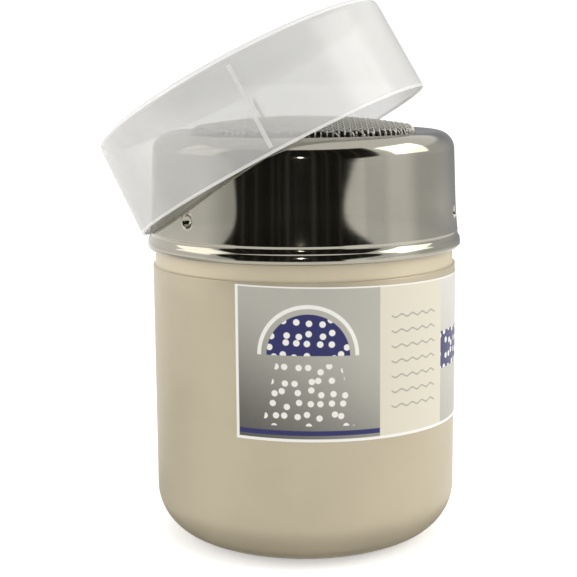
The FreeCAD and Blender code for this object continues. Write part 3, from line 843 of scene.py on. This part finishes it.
class SHAKER_OT_lid(bpy.types.Operator):
    """Build the polished lid shell with its punched lugs, and the ring inside it"""

    bl_idname = "shaker.lid"
    bl_label = "Lid"

    def execute(self, context):
        lid = context.scene.shaker_lid
        centres = [lid.lug_angle + FULL_TURN * index / lid.lugs for index in range(lid.lugs)]
        angles = fine_angles(LARGE_STEPS, centres, reach=math.radians(4.4),
                             step=math.radians(0.22))
        piece = lathe("lid_dressed", self.profile(lid), angles,
                      shape=lambda r, z, angle: self.punched(lid, centres, r, z, angle))
        polish = steel("polished_steel_look", lid.tint, low=0.07, high=0.11, lines=0.03,
                       waviness=0.10)
        dress(piece, polish, "polished_steel", "lid", "lid_shell")
        ring = lathe("ring_dressed", self.ring_profile(lid), even_angles(SMALL_STEPS))
        pressed = steel("ring_steel_look", lid.tint, low=0.16, high=0.24, lines=0.2,
                        waviness=0.05)
        dress(ring, pressed, "polished_steel", "sieve_insert", "retaining_ring")
        return {"FINISHED"}

    def punched(self, lid, centres, radius, height, angle):
        """Pushes the wall in round each lug, with a soft outer edge."""
        reach = 1.35
        lip_share = 0.06
        lip_place = 1.08
        lip_width = 0.14
        if abs(height - lid.lug_level) > reach * lid.lug_radius or radius < lid.opening_radius:
            return radius, height
        for centre in centres:
            across = math.remainder(angle - centre, FULL_TURN) * radius
            off = math.hypot(across, height - lid.lug_level) / lid.lug_radius
            if off < reach:
                dent = max(1 - off * off, 0) ** 0.75
                lip = lip_share * math.exp(-((off - lip_place) / lip_width) ** 2)
                return radius - lid.lug_depth * (dent - lip), height
        return radius, height

    def profile(self, lid):
        bead_top = lid.edge_level + lid.hem + lid.band + lid.flare
        corner_level = lid.top_level - lid.corner
        corner_radius = lid.top_radius - lid.corner
        opening_level = lid.top_level - lid.top_dip
        sheet = lid.sheet
        fine_reach = 2.4 * MM
        fine_low = lid.lug_level - fine_reach
        fine_high = lid.lug_level + fine_reach

        def wall_at(level, inset):
            share = (level - bead_top) / (corner_level - bead_top)
            foot = max(1 - (level - bead_top) / lid.foot_height, 0) ** 3 * lid.foot_flare
            return lid.wall_radius + (lid.top_radius - lid.wall_radius) * share + foot - inset

        def wall(inset):
            levels = []
            for start, end, steps in ((bead_top, fine_low, 8), (fine_low, fine_high, 34),
                                      (fine_high, corner_level, 12)):
                levels += [start + (end - start) * index / steps for index in range(steps)]
            return [(wall_at(level, inset), level) for level in levels[1:]]

        outer = self.bead_points(lid, 0)
        outer += wall(0)
        outer += arc_points((corner_radius, corner_level), lid.corner, 0, math.pi / 2, 18)
        outer += line_points((corner_radius, lid.top_level),
                             (lid.opening_radius + sheet * 0.6, opening_level), 5)[1:]
        outer += arc_points((lid.opening_radius + sheet / 2, opening_level - sheet / 2),
                            sheet / 2, math.pi / 2, math.pi * 1.5, 6)
        inner = [(corner_radius, lid.top_level - sheet)]
        inner += arc_points((corner_radius, corner_level), lid.corner - sheet,
                            math.pi / 2, 0, 10)[1:]
        inner += list(reversed(wall(sheet)))
        inner += list(reversed(self.bead_points(lid, sheet)))
        return outer + inner

    def bead_points(self, lid, inset):
        """Rolled hem, straight band and hollow flare, up to the wall."""
        hem_top = lid.edge_level + lid.hem
        bead_top = hem_top + lid.band + lid.flare
        hem_centre = (lid.bead_radius - lid.hem, hem_top)
        points = arc_points(hem_centre, lid.hem - inset, -math.pi / 2, 0, 10)
        low = lid.bead_radius - lid.band_lean - inset
        low_level = hem_top + lid.band - inset / 2
        run = low - (lid.wall_radius - inset)
        rise = bead_top - low_level
        curve = (run * run + rise * rise) / (2 * run)
        turn = math.atan2(rise, curve - run)
        nose = 0.12 * MM
        nose_share = 0.9
        turn_share = 0.94
        points += [(lid.bead_radius - inset - lid.band_lean * nose_share, low_level - nose)]
        curved = arc_points((lid.wall_radius - inset + curve, bead_top), curve,
                            math.pi + turn * turn_share, math.pi, 14)
        for across, level in curved:
            share = 1 - (bead_top - level) / rise
            points.append((across + lid.foot_flare * share, level))
        return points

    def ring_profile(self, lid):
        """The pressed ring that holds the mesh, inside the lid's corner."""
        outer = RING_HIGH[0]
        top = RING_HIGH[2]
        low = RING_LOW[2]
        sheet = lid.sheet
        inner = 25.0 * MM
        corner = outer - (lid.top_radius - lid.corner)
        dip = 0.4 * MM
        points = [(outer, low), (outer, top - corner)]
        points += [(outer - corner, top), (inner, top - dip), (inner, top - dip - sheet)]
        points += [(outer - corner - sheet / 2, top - sheet)]
        points += [(outer - sheet, top - corner - sheet / 2), (outer - sheet, low)]
        return points


class SHAKER_OT_mesh(bpy.types.Operator):
    """Weave the domed wire screen and its rim"""

    bl_idname = "shaker.mesh"
    bl_label = "Mesh screen"

    def execute(self, context):
        size = context.scene.shaker_mesh
        lid = context.scene.shaker_lid
        builder = bmesh.new()
        opening_level = lid.top_level - lid.top_dip
        count = int(size.dome_radius / size.pitch)
        for axis in (0, 1):
            for line in range(-count, count + 1):
                offset = line * size.pitch
                points = self.wire(size, opening_level, offset, line, axis)
                if points:
                    add_tube(builder, points, size.wire_radius, sides=6)
        mesh = bpy.data.meshes.new("mesh_wires")
        bmesh.ops.recalc_face_normals(builder, faces=builder.faces)
        finish_mesh(builder, mesh, crease=math.radians(70))
        wires = link_piece("mesh_wires", mesh)
        drawn = steel("wire_steel_look", size.tint, low=0.30, high=0.40, lines=0.1,
                      waviness=0.0, metal=0.65)
        dress(wires, drawn, "mesh_steel", "sieve_insert", "mesh_screen")
        rim = lathe("mesh_rim", self.rim_profile(size, lid), even_angles(SMALL_STEPS))
        dress(rim, drawn, "mesh_steel", "sieve_insert")
        return {"FINISHED"}

    def dome_level(self, size, opening_level, radius):
        """Height of the screen's middle surface, with a small rounded turn at its edge."""
        edge = size.dome_radius
        sphere = (edge * edge + size.crown * size.crown) / (2 * size.crown)
        level = opening_level + size.band_height + size.crown - sphere
        level += math.sqrt(sphere * sphere - radius * radius)
        turn = 0.9 * MM
        if radius > edge - turn:
            drop = (radius - edge + turn) / turn
            level -= turn * (1 - math.sqrt(max(1 - drop * drop, 0)))
        return level

    def wire(self, size, opening_level, offset, line, axis):
        """One wire: over and under its neighbours, then down at both ends."""
        reach_square = size.dome_radius ** 2 - offset ** 2
        if reach_square < (2 * size.pitch) ** 2:
            return []
        reach = math.sqrt(reach_square)
        half_pitch = size.pitch / 2
        steps = int(reach / half_pitch)
        places = [-reach, reach]
        places += [step * half_pitch for step in range(-steps, steps + 1)
                   if reach - abs(step * half_pitch) > size.pitch * 0.2]
        places += [side * (reach - back) for side in (-1, 1)
                   for back in (0.05 * MM, 0.25 * MM, 0.5 * MM)]
        places = sorted(set(places))
        points = []
        foot = opening_level - 0.6 * MM
        weave_share = 0.8
        for place in places:
            radius = min(math.hypot(place, offset), size.dome_radius)
            level = self.dome_level(size, opening_level, radius)
            weave = math.cos(math.pi * (place / size.pitch + line + axis))
            level += weave * size.wire_radius * weave_share
            points.append((place, level))
        points = [(-reach, foot)] + points + [(reach, foot)]
        if axis == 0:
            return [Vector((place, offset, level)) for place, level in points]
        return [Vector((offset, place, level)) for place, level in points]

    def rim_profile(self, size, lid):
        """The pressed edge of the screen, held under the lid's top."""
        gap = 0.06 * MM
        thickness = 0.45 * MM
        rise = 0.35 * MM
        shelf = 0.5 * MM
        nose = 0.1 * MM
        high = lid.top_level - lid.top_dip - lid.sheet - gap
        low = high - thickness
        outer = MESH_HIGH[0]
        inner = size.dome_radius - size.wire_radius
        return [(outer, low + rise), (outer, high + rise), (inner + shelf, high),
                (inner, high + nose), (inner, low)]


class SHAKER_OT_cap(bpy.types.Operator):
    """Mould the translucent dust cap and lean it on the lid"""

    bl_idname = "shaker.cap"
    bl_label = "Dust cap"

    def execute(self, context):
        cap = context.scene.shaker_cap
        piece = lathe("cap_dressed", self.profile(cap), even_angles(LARGE_STEPS))
        clear = milky_plastic("milky_plastic_look", cap.tint, thin=0.33, thick=0.70)
        dress(piece, clear, "milky_plastic", "cap", "dust_cap")
        # The rim, corner and ribs get denser plastic in a lighter colour that is partly painted
        # highlight.
        piece.data.materials.append(
            milky_plastic("milky_edge_highlight_look", cap.dense_highlight_tint, thin=0.55, thick=0.85))
        builder = bmesh.new()
        builder.from_mesh(piece.data)
        self.mark_edges(cap, builder)
        for index in range(cap.ribs):
            self.add_rib(builder, cap, cap.rib_angle + FULL_TURN * index / cap.ribs)
        finish_mesh(builder, piece.data)
        lean = cap.lean_angle
        axis = Vector((-math.sin(lean), math.cos(lean), 0))
        place = Matrix.Translation(
            (cap.slip * math.cos(lean), cap.slip * math.sin(lean), cap.level))
        piece.data.transform(place @ Matrix.Rotation(cap.tilt, 4, axis))
        return {"FINISHED"}

    def mark_edges(self, cap, builder):
        """Gives the rim and the top corner the denser plastic, whose lighter colour is partly
        painted highlight.
        """
        corner_radius = cap.top_radius - cap.corner * 0.45
        corner_level = cap.height - cap.corner * 0.5
        for face in builder.faces:
            centre = face.calc_center_median()
            corner = math.hypot(centre.x, centre.y) > corner_radius and centre.z > corner_level
            if centre.z < cap.rim_edge or corner:
                face.material_index = 1

    def profile(self, cap):
        shoulder = cap.height - cap.corner
        corner = cap.top_radius - cap.corner
        outer = arc_points((cap.rim_radius - cap.wall / 2, cap.wall / 2), cap.wall / 2,
                           math.pi, FULL_TURN, 8)
        lean = (cap.rim_radius - cap.top_radius) / shoulder
        outer += [(cap.rim_radius - lean * cap.rim_edge, cap.rim_edge)]
        outer += line_points((cap.rim_radius, cap.wall / 2), (cap.top_radius, shoulder), 10)[1:]
        outer += arc_points((corner, shoulder), cap.corner, 0, math.pi / 2, 10)
        outer += [(corner * 0.6, cap.height), (0, cap.height)]
        inner = [(0, cap.height - cap.wall), (corner * 0.6, cap.height - cap.wall)]
        inner += arc_points((corner, shoulder), cap.corner - cap.wall, math.pi / 2, 0, 8)
        inner += line_points((cap.top_radius - cap.wall, shoulder),
                             (cap.rim_radius - cap.wall, cap.wall / 2), 10)[1:]
        inner += [(cap.rim_radius - cap.wall - lean * cap.rim_edge, cap.rim_edge)]
        return outer + inner

    def add_rib(self, builder, cap, angle):
        """A thin rib with a rounded nose that stands in from the wall."""
        inner = cap.top_radius - cap.wall - cap.rib_depth
        half = cap.rib_width / 2
        lean = (cap.rim_radius - cap.top_radius) / (cap.height - cap.corner)
        overrun = 0.03 * MM
        end_share = 0.45
        nose_share = 0.8
        rows = []
        steps = 12
        for index in range(steps + 1):
            level = cap.rib_start + cap.rib_length * index / steps
            wall = cap.rim_radius - lean * level + overrun
            at_end = index in (0, steps)
            tip = inner + (wall - inner) * end_share if at_end else inner
            shoulder = tip + half * 0.5
            row = []
            for across, radius in ((-half, wall), (-half * nose_share, shoulder), (0, tip),
                                   (half * nose_share, shoulder), (half, wall)):
                x = radius * math.cos(angle) - across * math.sin(angle)
                y = radius * math.sin(angle) + across * math.cos(angle)
                row.append(builder.verts.new((x, y, level)))
            rows.append(row)
        faces = [builder.faces.new(rows[0]), builder.faces.new(rows[-1])]
        for low, high in zip(rows, rows[1:]):
            for column in range(len(low)):
                follower = (column + 1) % len(low)
                faces.append(builder.faces.new(
                    (low[column], low[follower], high[follower], high[column])))
        # The ribs take the denser plastic, whose lighter colour is partly painted highlight.
        for face in faces:
            face.material_index = 1
        bmesh.ops.recalc_face_normals(builder, faces=faces)


class SHAKER_OT_label(bpy.types.Operator):
    """Wrap the printed label round the cup"""

    bl_idname = "shaker.label"
    bl_label = "Label"

    def execute(self, context):
        look = context.scene.shaker_label
        cup = context.scene.shaker_cup
        columns = 220
        rows = 10
        inner = cup.radius + look.gap
        outer = inner + look.thickness
        builder = bmesh.new()
        uv_layer = builder.loops.layers.uv.new("strip")
        grids = {}
        where = {}
        front = math.radians(270)
        for side, radius in (("in", inner), ("out", outer)):
            for column in range(columns + 1):
                angle = look.start_angle + look.sweep * column / columns
                fall = look.slant * cup.radius * (angle - front)
                for row in range(rows + 1):
                    share = row / rows
                    level = look.bottom + look.height * share - fall
                    vert = builder.verts.new(
                        (radius * math.cos(angle), radius * math.sin(angle), level))
                    grids[side, column, row] = vert
                    along = cup.radius * look.sweep * column / columns
                    where[vert] = (along / MM, look.height * share / MM)
        self.add_faces(builder, grids, columns, rows)
        for face in builder.faces:
            for loop in face.loops:
                loop[uv_layer].uv = where[loop.vert]
        bmesh.ops.recalc_face_normals(builder, faces=builder.faces)
        mesh = bpy.data.meshes.new("label_strip")
        finish_mesh(builder, mesh)
        piece = link_piece("label_strip", mesh)
        dress(piece, printed_label("printed_label_look", look), "printed_label", "cup_body",
              "label")
        return {"FINISHED"}

    def add_faces(self, builder, grids, columns, rows):
        """Both sides of the strip and its four edges."""
        for side in ("in", "out"):
            for column in range(columns):
                for row in range(rows):
                    builder.faces.new((grids[side, column, row], grids[side, column + 1, row],
                                       grids[side, column + 1, row + 1],
                                       grids[side, column, row + 1]))
        for row in (0, rows):
            for column in range(columns):
                builder.faces.new((grids["in", column, row], grids["in", column + 1, row],
                                   grids["out", column + 1, row], grids["out", column, row]))
        for column in (0, columns):
            for row in range(rows):
                builder.faces.new((grids["in", column, row], grids["in", column, row + 1],
                                   grids["out", column, row + 1], grids["out", column, row]))


# Stage

class SHAKER_OT_stage(bpy.types.Operator):
    """Set the floor, the dark card, the lamps, the world and the camera"""

    bl_idname = "shaker.stage"
    bl_label = "Stage"

    def execute(self, context):
        stage = context.scene.shaker_stage
        self.floor()
        self.cards(stage)
        self.lamps(context, stage)
        self.world(context)
        self.camera(context, stage)
        context.scene.view_settings.view_transform = "Standard"
        return {"FINISHED"}

    def floor(self):
        """Pale paper that keeps the shadow."""
        half = 6.0
        mesh = bpy.data.meshes.new("floor")
        corners = [(-half, -half, 0), (half, -half, 0), (half, half, 0), (-half, half, 0)]
        mesh.from_pydata(corners, [], [(0, 1, 2, 3)])
        floor = link_piece("floor", mesh)
        desk = new_desk("floor_paper")
        matte = desk.add("ShaderNodeBsdfDiffuse", {}, {"Color": (0.9, 0.9, 0.9)})
        seen, polish = desk.ray_kinds()
        strength = desk.calc("MULTIPLY_ADD", seen, 0.42, desk.times(polish, 0.14))
        glow = desk.add("ShaderNodeEmission", {}, {"Color": (1, 1, 1), "Strength": strength})
        both = desk.add("ShaderNodeAddShader", {}, {0: matte.outputs[0], 1: glow.outputs[0]})
        floor.data.materials.append(desk.finish(both.outputs[0]))

    def cards(self, stage):
        """A tall dark card in front, a grey one at the back right, and painted shade over the
        floor.

        They are seen only in polish.
        """
        far = stage.card_distance
        rise = stage.card_top - stage.card_bottom
        wall = [(far, stage.card_bottom + rise * row / 12) for row in range(13)]
        self.bent_card("dark_card", stage.card_left, stage.card_right, wall, self.front_cover)
        back_height = 0.3
        back = [(far, back_height * row / 6) for row in range(7)]
        self.bent_card("grey_card", 42, 190, back, self.back_cover)
        reach = (12, 20, 28, 34, 40, 48, 60, 90, 140, 200, 300, 420)
        ground = [(distance * MM, 2 * MM) for distance in reach]
        # Painted shade over the floor, seen only in polish: a contact shadow under the cup and a
        # darker left side.
        self.bent_card("floor_shade_card", -180, 180, ground, self.painted_floor_shade)

    def bent_card(self, name, left, right, section, look):
        """A strip swept round the shaker, in degrees from the front, through a section."""
        columns = 72
        width = columns + 1
        mesh = bpy.data.meshes.new(name)
        points = []
        for distance, height in section:
            for column in range(width):
                angle = math.radians(left + (right - left) * column / columns)
                points.append((distance * math.sin(angle), -distance * math.cos(angle), height))
        faces = []
        for row in range(len(section) - 1):
            for column in range(columns):
                first = row * width + column
                faces.append((first, first + 1, first + 1 + width, first + width))
        mesh.from_pydata(points, [], faces)
        layer = mesh.uv_layers.new(name="card")
        for loop in mesh.loops:
            layer.data[loop.index].uv = (loop.vertex_index % width / columns,
                                         loop.vertex_index // width / (len(section) - 1))
        card = link_piece(name, mesh)
        desk = new_desk(name + "_look")
        split = desk.add("ShaderNodeSeparateXYZ", {}, {
            0: desk.add("ShaderNodeUVMap", {"uv_map": "card"}).outputs[0]})
        angle = desk.calc("MULTIPLY_ADD", split.outputs[0], right - left, left)
        cover, tone = look(desk, angle, split.outputs[1])
        dark = desk.add("ShaderNodeEmission", {}, {"Color": tone})
        clear = desk.add("ShaderNodeBsdfTransparent")
        mix = desk.add("ShaderNodeMixShader", {}, {
            0: cover, 1: clear.outputs[0], 2: dark.outputs[0]})
        card.data.materials.append(desk.finish(mix.outputs[0]))
        card.visible_camera = False
        card.visible_diffuse = False
        card.visible_shadow = False
        card.visible_transmission = False
        card.visible_volume_scatter = False

    def front_cover(self, desk, angle, up):
        """Dark between two edges that spread with height, and faint beyond the left one."""
        left_edge, left_spread = -48.5, -14
        right_edge, right_spread = 27.5, 28
        spread = desk.step(up, 0.075, 0.21)
        left = desk.calc("MULTIPLY_ADD", spread, left_spread, left_edge)
        right = desk.calc("MULTIPLY_ADD", spread, right_spread, right_edge)
        faint = desk.times(desk.step(angle, -78, -52), 0.38)
        cover = desk.most(faint, desk.above(desk.minus(angle, left), 0, 1.5))
        cover = desk.times(cover, desk.below(desk.minus(angle, right), 0, 2))
        cover = desk.times(cover, desk.step(up, 1.0, 0.93))
        cover = desk.times(cover, desk.step(up, 0.0, 0.03))
        place = desk.add("ShaderNodeCombineXYZ", {}, {0: angle}).outputs[0]
        streak = desk.step(desk.noise(place, scale=0.22), 0.45, 0.75)
        tone = desk.blend(streak, (0.012, 0.012, 0.010), (0.075, 0.075, 0.063))
        return cover, tone

    def back_cover(self, desk, angle, up):
        """Faint near the right, then in two steps denser towards the back."""
        near = desk.times(desk.step(angle, 42, 46), desk.step(angle, 66, 58))
        cover = desk.times(near, 0.20)
        cover = desk.plus(cover, desk.times(desk.step(angle, 76, 94), 0.36))
        cover = desk.plus(cover, desk.times(desk.step(angle, 115, 160), 0.42))
        return desk.times(cover, desk.step(up, 1.0, 0.8)), (0.14, 0.14, 0.17)

    def painted_floor_shade(self, desk, angle, up):
        """Painted shade: a painted contact shadow darkest under the cup, and painted shade that
        is weaker at the right, where the cup is brightest.
        """
        bright_side = 79
        dark_side = -101
        from_bright = desk.size_of(desk.minus(angle, bright_side))
        from_dark = desk.size_of(desk.minus(angle, dark_side))
        cover = desk.plus(desk.times(desk.step(from_bright, 0, 72), 0.14),
                          desk.times(desk.step(from_dark, 50, 0), 0.34))
        cover = desk.times(cover, desk.step(up, 1.0, 0.85))
        # Painted contact shadow under the cup.
        under = desk.times(desk.step(up, 0.42, 0.24), 0.8)
        return desk.most(cover, under), (0.03, 0.03, 0.03)

    def lamps(self, context, stage):
        """Two large side lamps, one above that polish doesn't show, and a small one in front."""
        target = Vector((0, 0, 70 * MM))
        near = stage.camera_distance * 1.1
        warm_white = (1.0, 0.97, 0.90)
        for name, azimuth, elevation, distance, side, power in (
                ("right_lamp", 89, 27, 1.0, stage.lamp_side, stage.lamp_power * 0.95),
                ("left_lamp", -88, 27, 1.0, stage.lamp_side, stage.lamp_power * 0.46),
                ("top_lamp", 10, 84, 1.0, stage.lamp_side, stage.lamp_power * 0.4),
                ("small_lamp", -2, 9, near, 16 * MM, stage.lamp_power * 0.003)):
            turn = math.radians(azimuth)
            rise = math.radians(elevation)
            data = bpy.data.lights.new(name, "AREA")
            data.shape = "SQUARE"
            data.size = side
            data.energy = power
            data.color = warm_white
            lamp = bpy.data.objects.new(name, data)
            toward = Vector((math.cos(rise) * math.sin(turn), -math.cos(rise) * math.cos(turn),
                             math.sin(rise)))
            lamp.location = target + toward * distance
            lamp.rotation_euler = toward.to_track_quat("Z", "Y").to_euler()
            lamp.visible_glossy = name != "top_lamp"
            context.scene.collection.objects.link(lamp)

    def world(self, context):
        """Pale light all round, and pure white where the camera or polish sees it."""
        desk = Desk(bpy.data.worlds.new("pale_world"))
        white = (1.0, 1.0, 1.0)
        soft = desk.add("ShaderNodeBackground", {}, {"Color": white, "Strength": 0.85})
        shown = desk.add("ShaderNodeBackground", {}, {"Color": white, "Strength": 1.0})
        seen, polish = desk.ray_kinds()
        mix = desk.add("ShaderNodeMixShader", {}, {
            0: desk.most(seen, polish), 1: soft.outputs[0], 2: shown.outputs[0]})
        context.scene.world = desk.finish(mix.outputs[0], "ShaderNodeOutputWorld")

    def camera(self, context, stage):
        """The camera that took the photograph."""
        data = bpy.data.cameras.new("camera")
        data.sensor_width = 36.0
        data.lens = data.sensor_width * LENS_PIXELS / IMAGE_SIDE
        camera = bpy.data.objects.new("camera", data)
        level = Matrix.Rotation(math.radians(90) - stage.camera_pitch, 4, "X")
        turn = Matrix.Rotation(stage.camera_yaw, 4, "Z")
        roll = Matrix.Rotation(stage.camera_roll, 4, "Z")
        place = Matrix.Translation((0, -stage.camera_distance, stage.camera_height))
        camera.matrix_world = place @ turn @ level @ roll
        context.scene.collection.objects.link(camera)
        context.scene.camera = camera


class SHAKER_PT_panel(bpy.types.Panel):
    """Buttons and sizes for the shaker"""

    bl_idname = "SHAKER_PT_panel"
    bl_label = "Shaker"
    bl_space_type = "VIEW_3D"
    bl_region_type = "UI"
    bl_category = "Shaker"

    def draw(self, context):
        for group, operator in PIECES:
            box = self.layout.box()
            box.operator(operator)
            settings = getattr(context.scene, group)
            for key in settings.bl_rna.properties.keys():
                if key not in ("rna_type", "name"):
                    box.prop(settings, key)


GROUPS = (
    ("shaker_cup", ShakerCupSizes),
    ("shaker_lid", ShakerLidSizes),
    ("shaker_mesh", ShakerMeshSizes),
    ("shaker_cap", ShakerCapSizes),
    ("shaker_label", ShakerLabelSizes),
    ("shaker_stage", ShakerStageSizes),
)
OPERATORS = (SHAKER_OT_cup, SHAKER_OT_lid, SHAKER_OT_mesh, SHAKER_OT_cap, SHAKER_OT_label,
             SHAKER_OT_stage)
PIECES = tuple(zip((name for name, group in GROUPS), (item.bl_idname for item in OPERATORS)))


def register():
    for name, group in GROUPS:
        bpy.utils.register_class(group)
        setattr(bpy.types.Scene, name, bpy.props.PointerProperty(type=group))
    for item in OPERATORS:
        bpy.utils.register_class(item)
    bpy.utils.register_class(SHAKER_PT_panel)


def unregister():
    bpy.utils.unregister_class(SHAKER_PT_panel)
    for item in reversed(OPERATORS):
        bpy.utils.unregister_class(item)
    for name, group in reversed(GROUPS):
        delattr(bpy.types.Scene, name)
        bpy.utils.unregister_class(group)


def main():
    register()
    bpy.ops.shaker.stage()
    bpy.ops.shaker.cup()
    bpy.ops.shaker.lid()
    bpy.ops.shaker.mesh()
    bpy.ops.shaker.cap()
    bpy.ops.shaker.label()


if __name__ == "__main__":
    main()
